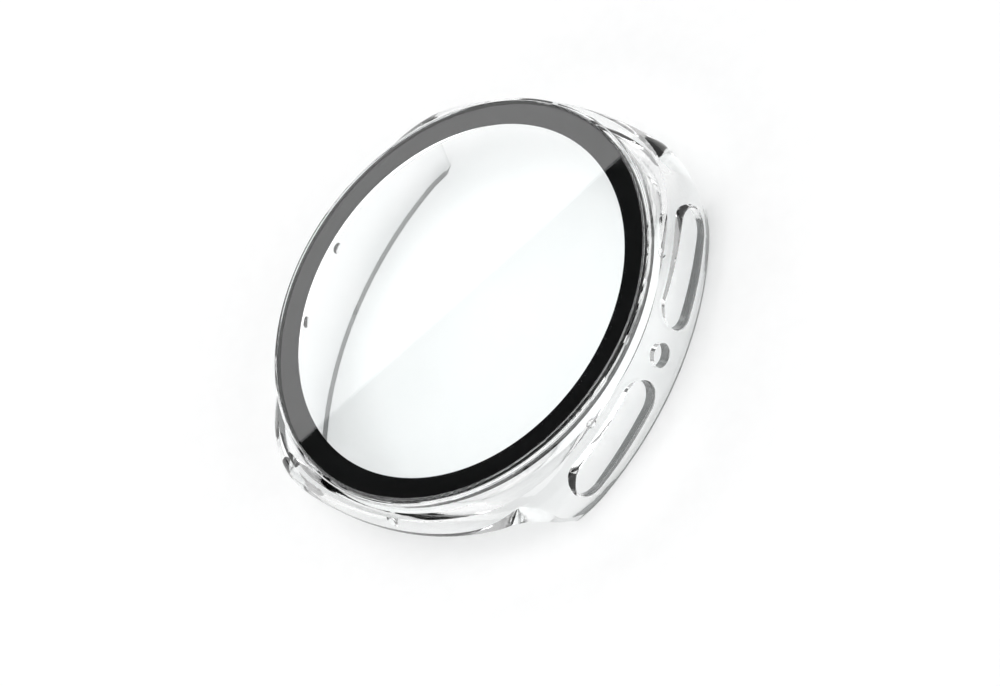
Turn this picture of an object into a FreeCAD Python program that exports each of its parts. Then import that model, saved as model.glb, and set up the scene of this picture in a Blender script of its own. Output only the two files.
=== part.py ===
"""Clear snap-on bumper case for a cushion-shaped smartwatch, with a bonded cover glass.

Millimetres. The case rests on its open foot, glass up.
+X points to the side with the key windows, +Y to twelve o'clock, +Z out through the glass.
"""

import FreeCAD, Part
import math
import os

import Sketcher

SIZES = {
    # cover glass, its printed border and the adhesive that holds both
    "glass_radius": 22.6,
    "glass_thickness": 0.52,
    "glass_rounding": 0.3,
    "glass_clearance": 0.08,
    "bond_gap": 0.01,
    "border_inset": 0.1,
    "border_width": 2.55,
    "border_thickness": 0.08,
    "adhesive_inset": 0.3,
    "adhesive_width": 1.6,
    "adhesive_thickness": 0.14,
    # round collar with its recess and seat for the glass
    "collar_lip": 0.32,
    "collar_bevel": 0.14,
    "seat_width": 2.0,
    "seat_thickness": 1.0,
    "recess_depth": 0.45,
    # cushion-shaped skirt round the watch
    "room_height": 8.6,
    "shoulder_drop": 0.55,
    "shoulder_step": 0.25,
    "brow_drop": 1.4,
    "brow_step": 0.05,
    "belly_reach_wide": 0.05,
    "belly_reach_long": 1.0,
    "brow_reach_long": 0.9,
    "shoulder_reach_long": 0.6,
    "foot_tuck": 0.65,
    "wall": 1.1,
    # two key windows and the microphone hole between them
    "window_bridge": 3.1,
    "window_length": 12.9,
    "window_width": 4.3,
    "window_rounding": 0.25,
    "window_drop": 0.05,
    "microphone_radius": 1.28,
    # cut-outs of the skirt for the strap, at twelve and at six o'clock
    "window_end_wall": 1.3,
    "strap_cut_corner_radius": 2.4,
    "strap_ear_drop": 2.35,
    "strap_middle_sag": 1.25,
    # moulded nubs that grip the watch
    "nub_radius": 0.65,
    "nub_reach": 0.25,
    "nub_drop": 2.2,
    "key_side_nub_drop": 1.0,
    "plain_side_nub_offset": 4.3,
    "plain_side_lean": 0.4,
    "key_side_lean": 1.75,
    "strap_side_lean": 0.45,
    "overrun": 0.5,
}

# how flat the sides and how round the corners of each outline are, as shares of its half width
ROUNDNESS_SHARES = {
    "foot_side_share": 1.607,
    "foot_corner_share": 0.585,
    "belly_side_share": 1.95,
    "belly_corner_share": 0.486,
    "brow_side_share": 1.8,
    "brow_corner_share": 0.52,
    "shoulder_side_share": 1.45,
    "shoulder_corner_share": 0.64,
    "ceiling_side_share": 1.065,
    "ceiling_corner_share": 0.917,
    "belly_height_share": 0.55,
}

# sizes that follow from the driving ones, kept in a variable set and worked out in this order
FORMS = {
    "recess_radius": "glass_radius + glass_clearance",
    "collar_radius": "recess_radius + collar_lip",
    "view_radius": "glass_radius - seat_width",
    "border_outer_radius": "glass_radius - border_inset",
    "border_inner_radius": "border_outer_radius - border_width",
    "adhesive_outer_radius": "glass_radius - adhesive_inset",
    "adhesive_inner_radius": "adhesive_outer_radius - adhesive_width",
    "seat_height": "room_height + seat_thickness",
    "collar_top": "seat_height + recess_depth",
    "adhesive_height": "seat_height + bond_gap",
    "border_height": "adhesive_height + adhesive_thickness + bond_gap",
    "glass_height": "border_height + border_thickness + bond_gap",
    "shoulder_height": "room_height - shoulder_drop",
    "belly_height": "room_height * belly_height_share",
    "brow_height": "room_height - brow_drop",
    "brow_half_width": "collar_radius - brow_step",
    "brow_half_length": "collar_radius + brow_reach_long",
    "brow_side_radius": "brow_half_width * brow_side_share",
    "brow_corner_radius": "brow_half_width * brow_corner_share",
    "ceiling_half_width": "collar_radius - shoulder_step",
    "ceiling_side_radius": "ceiling_half_width * ceiling_side_share",
    "ceiling_corner_radius": "ceiling_half_width * ceiling_corner_share",
    "shoulder_half_width": "collar_radius - shoulder_step",
    "shoulder_half_length": "collar_radius + shoulder_reach_long",
    "shoulder_side_radius": "shoulder_half_width * shoulder_side_share",
    "shoulder_corner_radius": "shoulder_half_width * shoulder_corner_share",
    "belly_half_width": "collar_radius + belly_reach_wide",
    "belly_half_length": "collar_radius + belly_reach_long",
    "belly_side_radius": "belly_half_width * belly_side_share",
    "belly_corner_radius": "belly_half_width * belly_corner_share",
    "foot_half_width": "belly_half_width - foot_tuck",
    "foot_half_length": "belly_half_length - foot_tuck",
    "foot_side_radius": "foot_half_width * foot_side_share",
    "foot_corner_radius": "foot_half_width * foot_corner_share",
    "window_offset": "window_bridge + window_length / 2",
    "window_rise": "room_height / 2 - window_drop",
    "strap_cut_half_width": "window_bridge + window_length + window_end_wall",
    "strap_cut_peak": "room_height - strap_ear_drop",
    "strap_cut_middle": "strap_cut_peak - strap_middle_sag",
    "nub_height": "room_height - nub_drop",
    "key_side_nub_height": "room_height - key_side_nub_drop",
}

doc = FreeCAD.newDocument("bumper_case")
UP = FreeCAD.Vector(0, 0, 1)
START, END, CENTRE = range(1, 4)
X_AXIS = -START
Y_AXIS = -END
ORIGIN = (X_AXIS, START)


def fill_sheet():
    """One row per driving size or share, each with its own alias."""
    sheet = doc.addObject("Spreadsheet::Sheet", "sizes")
    rows = {**SIZES, **ROUNDNESS_SHARES}
    for row, (alias, value) in enumerate(rows.items(), start=1):
        sheet.set(f"A{row}", alias)
        sheet.set(f"B{row}", str(value))
        sheet.setAlias(f"B{row}", alias)
    doc.recompute()
    return sheet


def tied(words):
    """An expression on the sheet and the variable set from words such as 'belly_half_width - wall'."""
    named = []
    for word in words.split():
        if word in SIZES or word in ROUNDNESS_SHARES:
            named.append(f"sizes.{word}")
        elif word in FORMS:
            named.append(f"forms.{word}")
        else:
            named.append(word)
    return " ".join(named)


def fill_forms():
    """Variable set of the sizes that follow from the driving ones."""
    forms = doc.addObject("App::VarSet", "forms")
    for name, words in FORMS.items():
        forms.addProperty("App::PropertyFloat", name, "Forms")
        forms.setExpression(name, tied(words))
    doc.recompute()
    return forms


sheet = fill_sheet()
forms = fill_forms()


def size(alias):
    """The number that a name of the sheet or of the variable set stands for."""
    holder = forms if alias in FORMS else sheet
    return float(getattr(holder, alias))


def value_of(words):
    """What a sum of such names comes to now, for first placing the geometry of a sketch."""
    total = 0.0
    sign = 1
    outer_signs = [1]
    for word in words.split():
        if word == "(":
            outer_signs.append(outer_signs[-1] * sign)
            sign = 1
        elif word == ")":
            outer_signs.pop()
        elif word in ("+", "-"):
            sign = 1 if word == "+" else -1
        else:
            total += outer_signs[-1] * sign * size(word)
    return total


def new_body(label):
    body = doc.addObject("PartDesign::Body", label)
    body.Label = label
    return body


def new_sketch(body, name, plane, height=None):
    """Sketch on one of the body's own planes, lifted off it by a tied height."""
    sketch = body.newObject("Sketcher::SketchObject", name)
    planes = [item for item in body.Origin.OriginFeatures if item.Role == plane]
    sketch.AttachmentSupport = [(planes[0], "")]
    sketch.MapMode = "FlatFace"
    if height:
        sketch.setExpression("AttachmentOffset.Base.z", tied(height))
    sketch.Visibility = False
    return sketch


def add_tied(sketch, kind, words, *where):
    """Dimension of a sketch that follows the sheet."""
    number = sketch.addConstraint(Sketcher.Constraint(kind, *where, value_of(words)))
    sketch.setExpression(f"Constraints[{number}]", tied(words))


def arc(centre_x, centre_y, radius, first, last):
    circle = Part.Circle(FreeCAD.Vector(centre_x, centre_y, 0), UP, radius)
    return Part.ArcOfCircle(circle, first, last)


def cushion_sketch(body, name, height, half_width, half_length, side_radius, corner_radius):
    """Cushion outline of four flat side arcs joined by four tangent corner arcs."""
    sketch = new_sketch(body, name, "XY_Plane", height)
    side = value_of(side_radius)
    corner = value_of(corner_radius)
    set_x = side - value_of(half_width)
    set_y = side - value_of(half_length)
    # a corner's centre lies where two circles about the centres of its side arcs meet
    span = math.hypot(set_x, set_y)
    reach = math.sqrt((side - corner) ** 2 - (span / 2) ** 2)
    corner_x = -set_x / 2 + reach * set_y / span
    corner_y = -set_y / 2 + reach * set_x / span
    flat_turn = math.atan2(corner_y, corner_x + set_x)
    steep_turn = math.atan2(corner_y + set_y, corner_x)
    quarter = math.pi / 2
    arcs = [
        arc(-set_x, 0, side, -flat_turn, flat_turn),
        arc(corner_x, corner_y, corner, flat_turn, steep_turn),
        arc(0, -set_y, side, steep_turn, 2 * quarter - steep_turn),
        arc(-corner_x, corner_y, corner, 2 * quarter - steep_turn, 2 * quarter - flat_turn),
        arc(set_x, 0, side, 2 * quarter - flat_turn, 2 * quarter + flat_turn),
        arc(-corner_x, -corner_y, corner, 2 * quarter + flat_turn, 2 * quarter + steep_turn),
        arc(0, set_y, side, 2 * quarter + steep_turn, 4 * quarter - steep_turn),
        arc(corner_x, -corner_y, corner, 4 * quarter - steep_turn, 4 * quarter - flat_turn),
    ]
    sketch.addGeometry(arcs, False)
    for number in range(len(arcs)):
        following = (number + 1) % len(arcs)
        sketch.addConstraint(Sketcher.Constraint("Tangent", number, END, following, START))
        add_tied(sketch, "Radius", corner_radius if number % 2 else side_radius, number)
    for number in (0, 4):
        sketch.addConstraint(Sketcher.Constraint("PointOnObject", number, CENTRE, X_AXIS))
    for number in (2, 6):
        sketch.addConstraint(Sketcher.Constraint("PointOnObject", number, CENTRE, Y_AXIS))
    add_tied(sketch, "DistanceX", f"{side_radius} - ( {half_width} )", 0, CENTRE, *ORIGIN)
    add_tied(sketch, "DistanceX", f"{side_radius} - ( {half_width} )", *ORIGIN, 4, CENTRE)
    add_tied(sketch, "DistanceY", f"{side_radius} - ( {half_length} )", 2, CENTRE, *ORIGIN)
    add_tied(sketch, "DistanceY", f"{side_radius} - ( {half_length} )", *ORIGIN, 6, CENTRE)
    return sketch


def circle_sketch(body, name, plane, height, radii):
    """Concentric circles about the case's axis."""
    sketch = new_sketch(body, name, plane, height)
    for number, radius in enumerate(radii):
        sketch.addGeometry(Part.Circle(FreeCAD.Vector(0, 0, 0), UP, value_of(radius)), False)
        sketch.addConstraint(Sketcher.Constraint("Coincident", number, CENTRE, *ORIGIN))
        add_tied(sketch, "Radius", radius, number)
    return sketch


def add_loft(body, kind, name, sections):
    loft = body.newObject(kind, name)
    loft.Profile = sections[0]
    loft.Sections = sections[1:]
    loft.Ruled = False
    return loft


def add_pad(body, name, sketch, length):
    pad = body.newObject("PartDesign::Pad", name)
    pad.Profile = sketch
    pad.setExpression("Length", tied(length))
    return pad


def add_pocket(body, name, sketch, length, reversed_cut=False):
    pocket = body.newObject("PartDesign::Pocket", name)
    pocket.Profile = sketch
    pocket.Reversed = reversed_cut
    pocket.setExpression("Length", tied(length))
    return pocket


def shell_form(body):
    """Outer form: a loft from the tucked foot over belly and brow to the shoulder, then the collar."""
    foot = cushion_sketch(body, "foot_outline", None, "foot_half_width", "foot_half_length",
                          "foot_side_radius", "foot_corner_radius")
    belly = cushion_sketch(body, "belly_outline", "belly_height", "belly_half_width",
                           "belly_half_length", "belly_side_radius", "belly_corner_radius")
    shoulder = cushion_sketch(body, "shoulder_outline", "shoulder_height", "shoulder_half_width",
                              "shoulder_half_length", "shoulder_side_radius", "shoulder_corner_radius")
    brow = cushion_sketch(body, "brow_outline", "brow_height", "brow_half_width", "brow_half_length",
                          "brow_side_radius", "brow_corner_radius")
    add_loft(body, "PartDesign::AdditiveLoft", "outer_form", [foot, belly, brow, shoulder])
    round_outline = circle_sketch(body, "collar_outline", "XY_Plane", "shoulder_height", ["collar_radius"])
    add_pad(body, "collar", round_outline, "collar_top - shoulder_height")


def shell_hollow(body):
    """Room for the watch, one wall inside the outer form, then the seat's two round steps."""
    mouth = cushion_sketch(body, "mouth_outline", "- overrun", "foot_half_width - wall",
                           "foot_half_length - wall", "foot_side_radius - wall",
                           "foot_corner_radius - wall")
    waist = cushion_sketch(body, "waist_outline", "belly_height", "belly_half_width - wall",
                           "belly_half_length - wall", "belly_side_radius - wall",
                           "belly_corner_radius - wall")
    ceiling = cushion_sketch(body, "ceiling_outline", "room_height", "ceiling_half_width - wall",
                             "ceiling_half_width - wall", "ceiling_side_radius - wall",
                             "ceiling_corner_radius - wall")
    add_loft(body, "PartDesign::SubtractiveLoft", "watch_room", [mouth, waist, ceiling])
    recess = circle_sketch(body, "recess_outline", "XY_Plane", "seat_height", ["recess_radius"])
    add_pocket(body, "glass_recess", recess, "collar_top - seat_height + overrun", True)
    view = circle_sketch(body, "view_outline", "XY_Plane", "room_height - overrun", ["view_radius"])
    add_pocket(body, "view_opening", view, "seat_thickness + overrun + overrun", True)


def strap_cut(body):
    """One outline cut right through both skirts: upright sides, round ears, a sagging middle."""
    sketch = new_sketch(body, "strap_cut_outline", "XZ_Plane")
    ear = size("strap_cut_corner_radius")
    ear_x = size("strap_cut_half_width") - ear
    ear_z = size("strap_cut_peak") - ear
    rise = size("strap_cut_middle") - ear_z
    sag = (ear_x ** 2 + rise ** 2 - ear ** 2) / (2 * (ear - rise))
    sag_z = size("strap_cut_middle") + sag
    lean = math.atan2(sag_z - ear_z, ear_x)
    half = math.pi
    low = -size("overrun")
    right = ear_x + ear
    sketch.addGeometry([
        arc(ear_x, ear_z, ear, 0, half - lean),
        arc(0, sag_z, sag, half + lean, 2 * half - lean),
        arc(-ear_x, ear_z, ear, lean, half),
        Part.LineSegment(FreeCAD.Vector(-right, ear_z, 0), FreeCAD.Vector(-right, low, 0)),
        Part.LineSegment(FreeCAD.Vector(-right, low, 0), FreeCAD.Vector(right, low, 0)),
        Part.LineSegment(FreeCAD.Vector(right, low, 0), FreeCAD.Vector(right, ear_z, 0)),
    ], False)
    sketch.addConstraint(Sketcher.Constraint("Tangent", 0, END, 1, END))
    sketch.addConstraint(Sketcher.Constraint("Tangent", 1, START, 2, START))
    sketch.addConstraint(Sketcher.Constraint("Tangent", 2, END, 3, START))
    sketch.addConstraint(Sketcher.Constraint("Coincident", 3, END, 4, START))
    sketch.addConstraint(Sketcher.Constraint("Coincident", 4, END, 5, START))
    sketch.addConstraint(Sketcher.Constraint("Tangent", 5, END, 0, START))
    sketch.addConstraint(Sketcher.Constraint("Vertical", 3))
    sketch.addConstraint(Sketcher.Constraint("Vertical", 5))
    sketch.addConstraint(Sketcher.Constraint("Horizontal", 4))
    add_tied(sketch, "Radius", "strap_cut_corner_radius", 0)
    add_tied(sketch, "Radius", "strap_cut_corner_radius", 2)
    add_tied(sketch, "DistanceX", "strap_cut_half_width - strap_cut_corner_radius", *ORIGIN, 0, CENTRE)
    add_tied(sketch, "DistanceX", "strap_cut_half_width - strap_cut_corner_radius", 2, CENTRE, *ORIGIN)
    add_tied(sketch, "DistanceY", "strap_cut_peak - strap_cut_corner_radius", *ORIGIN, 0, CENTRE)
    add_tied(sketch, "DistanceY", "strap_cut_peak - strap_cut_corner_radius", *ORIGIN, 2, CENTRE)
    add_tied(sketch, "DistanceY", "overrun", 4, START, *ORIGIN)
    number = sketch.addConstraint(Sketcher.Constraint("Radius", 1, sag))
    across = f"({tied('strap_cut_half_width - strap_cut_corner_radius')})"
    climb = f"({tied('strap_cut_middle - strap_cut_peak + strap_cut_corner_radius')})"
    corner = tied("strap_cut_corner_radius")
    sketch.setExpression(f"Constraints[{number}]",
                         f"({across}^2 + {climb}^2 - {corner}^2) / (2 * ({corner} - {climb}))")
    pocket = add_pocket(body, "strap_cuts", sketch, "belly_half_length + belly_half_length + overrun")
    pocket.Midplane = True


def add_pill(sketch, first, side, length, width):
    """Slot outline lying along the side, centred at one window."""
    radius = value_of(width) / 2
    middle = side * size("window_offset")
    height = size("window_rise")
    half = value_of(length) / 2 - radius
    quarter = math.pi / 2
    sketch.addGeometry([
        arc(middle - half, height, radius, quarter, 3 * quarter),
        Part.LineSegment(FreeCAD.Vector(middle - half, height - radius, 0),
                         FreeCAD.Vector(middle + half, height - radius, 0)),
        arc(middle + half, height, radius, -quarter, quarter),
        Part.LineSegment(FreeCAD.Vector(middle + half, height + radius, 0),
                         FreeCAD.Vector(middle - half, height + radius, 0)),
    ], False)
    left, lower, right, upper = range(first, first + 4)
    sketch.addConstraint(Sketcher.Constraint("Tangent", left, END, lower, START))
    sketch.addConstraint(Sketcher.Constraint("Tangent", lower, END, right, START))
    sketch.addConstraint(Sketcher.Constraint("Tangent", right, END, upper, START))
    sketch.addConstraint(Sketcher.Constraint("Tangent", upper, END, left, START))
    sketch.addConstraint(Sketcher.Constraint("Horizontal", lower))
    number = sketch.addConstraint(Sketcher.Constraint("Radius", left, radius))
    sketch.setExpression(f"Constraints[{number}]", f"({tied(width)}) / 2")
    number = sketch.addConstraint(Sketcher.Constraint("DistanceX", left, CENTRE, right, CENTRE, 2 * half))
    sketch.setExpression(f"Constraints[{number}]", f"{tied(length)} - ({tied(width)})")
    number = sketch.addConstraint(Sketcher.Constraint("DistanceY", *ORIGIN, left, CENTRE, height))
    sketch.setExpression(f"Constraints[{number}]", tied("window_rise"))
    near = (*ORIGIN, left, CENTRE) if side > 0 else (right, CENTRE, *ORIGIN)
    number = sketch.addConstraint(Sketcher.Constraint("DistanceX", *near, size("window_offset") - half))
    sketch.setExpression(f"Constraints[{number}]",
                         f"{tied('window_offset')} - ({tied(length)} - ({tied(width)})) / 2")


def add_side_hole(sketch, number, radius):
    sketch.addGeometry(Part.Circle(FreeCAD.Vector(0, size("window_rise"), 0), UP, size(radius)), False)
    sketch.addConstraint(Sketcher.Constraint("PointOnObject", number, CENTRE, Y_AXIS))
    add_tied(sketch, "DistanceY", "window_rise", *ORIGIN, number, CENTRE)
    add_tied(sketch, "Radius", radius, number)


def key_side(body):
    """Windows and microphone hole, cut square through the wall."""
    through = new_sketch(body, "window_outlines", "YZ_Plane", "window_offset")
    for place, side in enumerate((-1, 1)):
        add_pill(through, 4 * place, side, "window_length", "window_width")
    add_side_hole(through, 8, "microphone_radius")
    add_pocket(body, "windows", through, "belly_half_width + overrun - window_offset", True)


def add_nub(body, name, across, along, height):
    """Ball sunk in the wall so that only its cap stands into the watch's room."""
    ball = body.newObject("PartDesign::AdditiveSphere", name)
    ball.setExpression("Radius", tied("nub_radius"))
    ball.setExpression("AttachmentOffset.Base.x", across)
    ball.setExpression("AttachmentOffset.Base.y", along)
    ball.setExpression("AttachmentOffset.Base.z", tied(height))
    planes = [item for item in body.Origin.OriginFeatures if item.Role == "XY_Plane"]
    ball.AttachmentSupport = [(planes[0], "")]
    ball.MapMode = "FlatFace"


def grip_nubs(body):
    """Six nubs: two on each key-less or key side, one in the middle of each strap side."""
    plain_x = tied("belly_half_width - wall - plain_side_lean - nub_reach + nub_radius")
    key_x = tied("belly_half_width - wall - key_side_lean - nub_reach + nub_radius")
    sunk_y = tied("belly_half_length - wall - strap_side_lean - nub_reach + nub_radius")
    for side in ("-1", "1"):
        add_nub(body, f"plain_side_nub_{side.replace('-1', 'low').replace('1', 'high')}",
                f"-({plain_x})", f"{side} * sizes.plain_side_nub_offset", "nub_height")
        add_nub(body, f"key_side_nub_{side.replace('-1', 'low').replace('1', 'high')}",
                key_x, f"{side} * forms.window_offset", "key_side_nub_height")
        add_nub(body, f"strap_side_nub_{side.replace('-1', 'low').replace('1', 'high')}",
                "0 mm", f"{side} * ({sunk_y})", "nub_height")


def wanted_edges(body, wanted):
    """The body's tip with the names of those of its edges for which the test holds."""
    edges = body.Tip.Shape.Edges
    return body.Tip, [f"Edge{number}" for number, edge in enumerate(edges, start=1) if wanted(edge)]


def round_edges(body, name, radius, wanted):
    chosen = wanted_edges(body, wanted)
    fillet = body.newObject("PartDesign::Fillet", name)
    fillet.Base = chosen
    fillet.setExpression("Radius", tied(radius))
    doc.recompute()


def bevel_edges(body, name, width, wanted):
    chosen = wanted_edges(body, wanted)
    bevel = body.newObject("PartDesign::Chamfer", name)
    bevel.Base = chosen
    bevel.setExpression("Size", tied(width))
    doc.recompute()


def on_collar_rim(edge):
    box = edge.BoundBox
    at_top = abs(box.ZMin - size("collar_top")) < size("collar_bevel")
    return at_top and box.XLength > size("recess_radius") + size("collar_radius")


def on_outer_window(edge):
    """Outer mouth edges of the two key windows."""
    box = edge.BoundBox
    middle = (edge.FirstParameter + edge.LastParameter) / 2
    point = edge.valueAt(middle)
    side_radius = size("belly_side_radius")
    face_x = size("belly_half_width") - side_radius + math.sqrt(side_radius ** 2 - point.y ** 2)
    reach = size("window_width") / 2 + size("overrun") / 2
    height = size("window_rise")
    level = abs(box.ZMin - height) < reach and abs(box.ZMax - height) < reach
    off_microphone = abs(point.y) > size("window_bridge") - size("window_rounding")
    return level and off_microphone and point.x > face_x - size("wall") / 2


def build_shell():
    body = new_body("bumper_shell")
    shell_form(body)
    shell_hollow(body)
    doc.recompute()
    strap_cut(body)
    key_side(body)
    grip_nubs(body)
    doc.recompute()
    round_edges(body, "window_rounds", "window_rounding", on_outer_window)
    bevel_edges(body, "collar_bevels", "collar_bevel", on_collar_rim)
    return body


def build_ring(label, outer, inner, bottom, thickness):
    """Thin flat ring about the case's axis."""
    body = new_body(label)
    outline = circle_sketch(body, label + "_outline", "XY_Plane", bottom, [outer, inner])
    add_pad(body, label + "_sheet", outline, thickness)
    doc.recompute()
    return body


def build_glass():
    """Flat round glass whose upper edge is ground round."""
    body = new_body("cover_glass")
    outline = circle_sketch(body, "glass_outline", "XY_Plane", "glass_height", ["glass_radius"])
    add_pad(body, "glass_sheet", outline, "glass_thickness")
    doc.recompute()
    middle = size("glass_height") + size("glass_thickness") / 2
    round_edges(body, "glass_edge_round", "glass_rounding", lambda edge: edge.BoundBox.ZMin > middle)
    return body


def check_states():
    """Stops when any object failed."""
    for item in doc.Objects:
        if "Invalid" in item.State or "Error" in item.State:
            raise RuntimeError(f"{item.Name}: {item.State}")


def write_parts(bodies):
    os.makedirs("parts", exist_ok=True)
    for body in bodies:
        if body.Shape.isNull() or not body.Shape.isValid():
            raise RuntimeError(f"{body.Label} has no valid shape")
        print(body.Label, body.Shape.BoundBox, round(body.Shape.Volume, 2), len(body.Shape.Solids))
        body.Shape.exportStep(f"parts/{body.Label}.step")


bodies = [
    build_shell(),
    build_ring("adhesive_ring", "adhesive_outer_radius", "adhesive_inner_radius", "adhesive_height",
               "adhesive_thickness"),
    build_ring("printed_border", "border_outer_radius", "border_inner_radius", "border_height",
               "border_thickness"),
    build_glass(),
]
check_states()
write_parts(bodies)
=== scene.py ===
import math

import bpy
from mathutils import Matrix, Vector


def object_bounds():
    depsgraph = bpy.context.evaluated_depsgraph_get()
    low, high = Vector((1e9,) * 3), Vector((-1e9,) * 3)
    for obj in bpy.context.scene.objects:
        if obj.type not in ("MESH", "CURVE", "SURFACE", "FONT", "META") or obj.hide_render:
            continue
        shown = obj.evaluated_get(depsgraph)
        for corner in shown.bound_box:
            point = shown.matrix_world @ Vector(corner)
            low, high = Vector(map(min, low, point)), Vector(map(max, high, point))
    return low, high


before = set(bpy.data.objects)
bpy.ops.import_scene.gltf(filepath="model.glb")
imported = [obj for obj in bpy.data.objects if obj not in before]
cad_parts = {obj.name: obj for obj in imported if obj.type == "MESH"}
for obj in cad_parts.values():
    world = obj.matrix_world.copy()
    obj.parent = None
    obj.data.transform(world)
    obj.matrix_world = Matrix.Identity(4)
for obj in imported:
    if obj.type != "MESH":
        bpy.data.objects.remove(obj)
cad_box = [list(corner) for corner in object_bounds()]

MM = 0.001
glass_top = cad_box[1][2]

# the photograph's view: how far the glass is tilted away, how far the case is turned about its
# own axis, and how far the tilting direction leans in the picture
TILT = math.radians(43.6)
TURN = math.radians(20.15)
LEAN = math.radians(52.56)
PIXELS_PER_METRE = 9800.0
IMAGE_SIZE = (1000, 686)
GLASS_CENTRE_PIXEL = (458.45, 298.6)
LENS_MM = 400.0
SENSOR_MM = 36.0

# the strip of light whose mirror image covers the nine o'clock half of the glass
GLARE_HEIGHT = 0.51
GLARE_LENGTH = 0.6
GLARE_WIDTH = 0.35
GLARE_POWER = 1.15
# two spots on the glass, in millimetres, through which the straight edge of that image runs
GLARE_EDGE_SPOTS = ((-11.7, -16.9), (12.4, 17.5))

FLAG_HEIGHT = 0.56
FLAG_SIZE = 0.36
FLOOR_SIZE = 6.0

# soft panels round the table: name, place in metres, length, width, power in watts
SOFT_PANELS = (
    ("top_panel", (0.15, -0.1, 1.5), 1.2, 1.2, 9.6),
    ("right_panel", (1.3, 0.3, 0.7), 1.2, 0.8, 5.2),
    ("front_panel", (-0.2, -1.3, 0.7), 1.2, 0.8, 5.2),
    ("left_panel", (-1.4, 0.1, 0.35), 1.2, 0.4, 2.6),
)
WORLD_STRENGTH = 0.48


def srgb(text):
    """Linear colour from an sRGB hex string such as 'd8dadb'."""
    parts = [int(text[i:i + 2], 16) / 255 for i in (0, 2, 4)]
    return [c / 12.92 if c <= 0.04045 else ((c + 0.055) / 1.055) ** 2.4 for c in parts] + [1.0]


def new_material(name):
    """A material with an empty node tree; returns both."""
    material = bpy.data.materials.new(name)
    material.use_nodes = True
    tree = material.node_tree
    tree.nodes.clear()
    return material, tree


def add(tree, kind, settings=None, **inputs):
    """Adds one node. Settings are its own properties, inputs its sockets by name, or by number as
    in i0; an input is a value or the socket that it is linked to."""
    node = tree.nodes.new(kind)
    for key, value in (settings or {}).items():
        setattr(node, key, value)
    for key, value in inputs.items():
        name = key.replace("_", " ")
        socket = node.inputs[int(key[1:])] if key[0] == "i" and key[1:].isdigit() else node.inputs[name]
        if isinstance(value, bpy.types.NodeSocket):
            tree.links.new(value, socket)
        else:
            socket.default_value = value
    return node


def object_noise(tree, spacing_mm, detail=3.0, roughness=0.5):
    """Noise in object coordinates, with its features so many millimetres apart."""
    coordinates = add(tree, "ShaderNodeTexCoord")
    return add(tree, "ShaderNodeTexNoise", Vector=coordinates.outputs["Object"],
               Scale=1 / (spacing_mm * MM), Detail=detail, Roughness=roughness)


def remap(tree, value, low, high, to_low, to_high):
    """Maps a 0 to 1 value from one range to another."""
    return add(tree, "ShaderNodeMapRange", i0=value, i1=low, i2=high, i3=to_low, i4=to_high)


def let_lamps_through(tree, shader, tint, share):
    """Clear pieces pass lamp light straight through, so that they throw a pale shadow."""
    path = add(tree, "ShaderNodeLightPath")
    clear = add(tree, "ShaderNodeBsdfTransparent", Color=tint)
    amount = add(tree, "ShaderNodeMath", {"operation": "MULTIPLY"},
                 i0=path.outputs["Is Shadow Ray"], i1=share)
    mix = add(tree, "ShaderNodeMixShader", i0=amount.outputs[0], i1=shader, i2=clear.outputs[0])
    add(tree, "ShaderNodeOutputMaterial", Surface=mix.outputs[0])


def clear_polycarbonate():
    """Water-clear moulding: dark and bright refracted edges, faint flow waves, a few hairline scuffs."""
    material, tree = new_material("clear_polycarbonate")
    waves = object_noise(tree, 8.33, 2.0)
    bump = add(tree, "ShaderNodeBump", Height=waves.outputs[0], Strength=0.05, Distance=0.2 * MM)
    scuffs = object_noise(tree, 0.4, 6.0, 0.7)
    roughness = remap(tree, scuffs.outputs[0], 0.45, 0.75, 0.015, 0.07)
    tint = remap(tree, waves.outputs[0], 0.3, 0.7, 0.0, 1.0)
    colour = add(tree, "ShaderNodeMix", {"data_type": "RGBA"}, i0=tint.outputs[0],
                 i6=srgb("f7f8f8"), i7=srgb("fcfcfc"))
    shader = add(tree, "ShaderNodeBsdfPrincipled", Base_Color=colour.outputs[2],
                 Roughness=roughness.outputs[0], IOR=1.585, Transmission_Weight=1.0,
                 Normal=bump.outputs[0])
    let_lamps_through(tree, shader.outputs[0], srgb("e9eaea"), 0.85)
    return material


def cover_glass():
    """Toughened glass: a sharp mirror image of the lamps, with the faintest oily film."""
    material, tree = new_material("toughened_cover_glass")
    film = object_noise(tree, 4.0, 4.0, 0.6)
    roughness = remap(tree, film.outputs[0], 0.5, 0.8, 0.0, 0.025)
    tint = remap(tree, film.outputs[0], 0.2, 0.8, 0.0, 1.0)
    colour = add(tree, "ShaderNodeMix", {"data_type": "RGBA"}, i0=tint.outputs[0],
                 i6=srgb("fbfdfd"), i7=srgb("feffff"))
    shader = add(tree, "ShaderNodeBsdfPrincipled", Base_Color=colour.outputs[2],
                 Roughness=roughness.outputs[0], IOR=1.52, Transmission_Weight=1.0)
    let_lamps_through(tree, shader.outputs[0], srgb("f4f6f6"), 0.95)
    return material


def black_print():
    """Screen-printed ink under the glass: deep black, with the grain of the printing mesh, which is
    finer than a pixel here and only softens the black."""
    material, tree = new_material("black_screen_print")
    grain = object_noise(tree, 0.0556, 2.0)
    colour = add(tree, "ShaderNodeMix", {"data_type": "RGBA"}, i0=grain.outputs[0],
                 i6=srgb("020202"), i7=srgb("060607"))
    bump = add(tree, "ShaderNodeBump", Height=grain.outputs[0], Strength=0.1, Distance=0.01 * MM)
    roughness = remap(tree, grain.outputs[0], 0.3, 0.7, 0.35, 0.5)
    shader = add(tree, "ShaderNodeBsdfPrincipled", Base_Color=colour.outputs[2],
                 Roughness=roughness.outputs[0], Specular_IOR_Level=0.05, Normal=bump.outputs[0])
    add(tree, "ShaderNodeOutputMaterial", Surface=shader.outputs[0])
    return material


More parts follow.
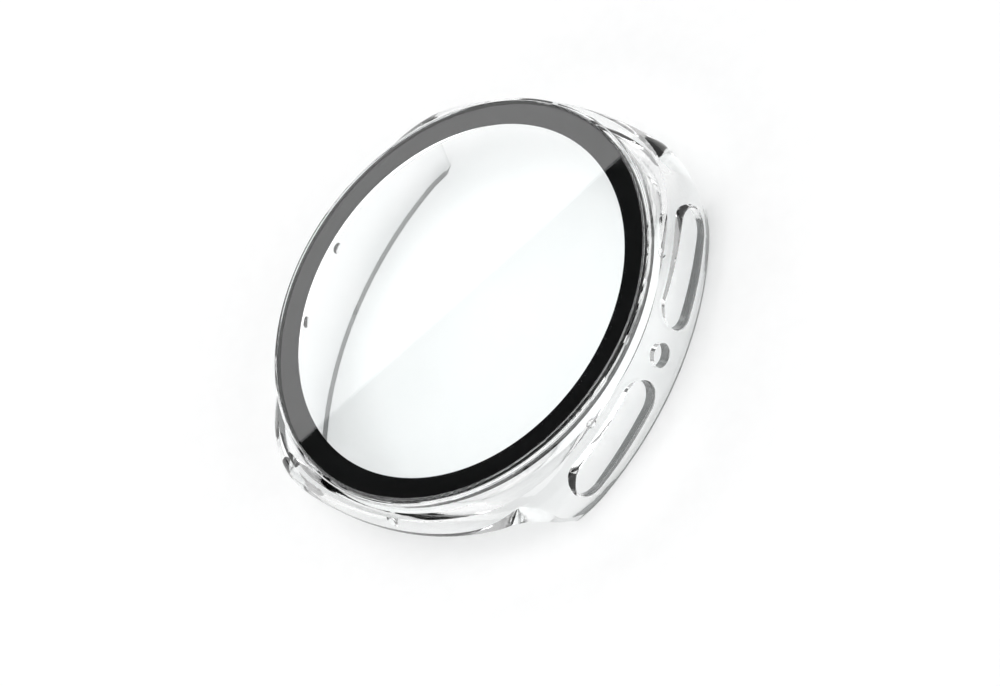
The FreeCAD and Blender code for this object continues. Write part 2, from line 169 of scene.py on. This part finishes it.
def clear_adhesive():
    """Clear glue: a little milky, with fine bubbles."""
    material, tree = new_material("clear_bonding_adhesive")
    bubbles = object_noise(tree, 0.25, 3.0, 0.6)
    roughness = remap(tree, bubbles.outputs[0], 0.5, 0.7, 0.15, 0.4)
    colour = add(tree, "ShaderNodeMix", {"data_type": "RGBA"}, i0=bubbles.outputs[0],
                 i6=srgb("e6e8e8"), i7=srgb("f4f5f5"))
    shader = add(tree, "ShaderNodeBsdfPrincipled", Base_Color=colour.outputs[2],
                 Roughness=roughness.outputs[0], IOR=1.48, Transmission_Weight=0.95)
    let_lamps_through(tree, shader.outputs[0], srgb("dfe1e1"), 0.8)
    return material


def white_floor():
    """Plain matt white table."""
    material, tree = new_material("white_table")
    grain = object_noise(tree, 2.0, 3.0)
    colour = add(tree, "ShaderNodeMix", {"data_type": "RGBA"}, i0=grain.outputs[0],
                 i6=srgb("f6f6f6"), i7=srgb("fafafa"))
    shader = add(tree, "ShaderNodeBsdfPrincipled", Base_Color=colour.outputs[2], Roughness=0.9)
    add(tree, "ShaderNodeOutputMaterial", Surface=shader.outputs[0])
    return material


def paint(node_name, material):
    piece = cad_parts[node_name]
    piece.data.materials.clear()
    piece.data.materials.append(material)


paint("bumper_shell", clear_polycarbonate())
paint("cover_glass", cover_glass())
paint("printed_border", black_print())
paint("adhesive_ring", clear_adhesive())

# image axes of the photograph, as directions in the object's frame
along = Vector((math.sin(TURN), math.cos(TURN), 0))
across = Vector((math.cos(TURN) * math.cos(TILT), -math.sin(TURN) * math.cos(TILT), -math.sin(TILT)))
right = math.cos(LEAN) * along + math.sin(LEAN) * across
up = math.sin(LEAN) * along - math.cos(LEAN) * across
towards = right.cross(up)

distance = LENS_MM / SENSOR_MM * IMAGE_SIZE[0] / PIXELS_PER_METRE
shift_x = (IMAGE_SIZE[0] / 2 - GLASS_CENTRE_PIXEL[0]) / PIXELS_PER_METRE
shift_y = (IMAGE_SIZE[1] / 2 - GLASS_CENTRE_PIXEL[1]) / PIXELS_PER_METRE
glass_centre = Vector((0, 0, glass_top))
aim = glass_centre + shift_x * right - shift_y * up
eye = aim + towards * distance

camera_data = bpy.data.cameras.new("camera")
camera_data.lens = LENS_MM
camera_data.sensor_width = SENSOR_MM
camera_data.clip_start = 0.05
camera_data.clip_end = 20.0
camera = bpy.data.objects.new("camera", camera_data)
bpy.context.scene.collection.objects.link(camera)
camera.matrix_world = Matrix((right, up, towards)).transposed().to_4x4()
camera.matrix_world.translation = eye
bpy.context.scene.camera = camera


def flat_plane(name, size, place, material):
    """A square plane of the stage."""
    bpy.ops.object.select_all(action="DESELECT")
    bpy.ops.mesh.primitive_plane_add(size=size, location=place)
    plane = bpy.context.object
    plane.name = name
    plane.data.materials.append(material)
    return plane


def panel_lamp(name, length, width, power):
    """A rectangular lamp that shines along its own -Z; it has no place yet."""
    data = bpy.data.lights.new(name, "AREA")
    data.shape = "RECTANGLE"
    data.size = length
    data.size_y = width
    data.energy = power
    lamp = bpy.data.objects.new(name, data)
    bpy.context.scene.collection.objects.link(lamp)
    return lamp


def mirrored(spot, height):
    """The place at that height which the camera sees mirrored in the glass at the spot."""
    ray = spot - eye
    ray.z = -ray.z
    return spot + ray * ((height - glass_top) / ray.z)


floor = flat_plane("table_top", FLOOR_SIZE, (0, 0, 0), white_floor())

glare_line = []
for x, y in GLARE_EDGE_SPOTS:
    glare_line.append(mirrored(Vector((x * MM, y * MM, glass_top)), GLARE_HEIGHT))
edge = (glare_line[1] - glare_line[0]).normalized()
outward = Vector((-edge.y, edge.x, 0))
glare = panel_lamp("glare_panel", GLARE_LENGTH, GLARE_WIDTH, GLARE_POWER)
glare.matrix_world = Matrix((edge, outward, edge.cross(outward))).transposed().to_4x4()
glare.matrix_world.translation = (glare_line[0] + glare_line[1]) / 2 + outward * GLARE_WIDTH / 2

# black flag behind that strip, so that the rest of the glass mirrors nothing
flag = flat_plane("black_flag", FLAG_SIZE, mirrored(glass_centre, FLAG_HEIGHT), black_print())

for name, place, length, width, power in SOFT_PANELS:
    lamp = panel_lamp(name, length, width, power)
    facing = Vector(place).to_track_quat("Z", "Y").to_matrix().to_4x4()
    lamp.matrix_world = Matrix.Translation(place) @ facing

world = bpy.data.worlds.new("studio")
bpy.context.scene.world = world
world.use_nodes = True
background = world.node_tree.nodes["Background"]
background.inputs[0].default_value = srgb("ffffff")
background.inputs[1].default_value = WORLD_STRENGTH

bpy.context.scene.view_settings.view_transform = "Standard"
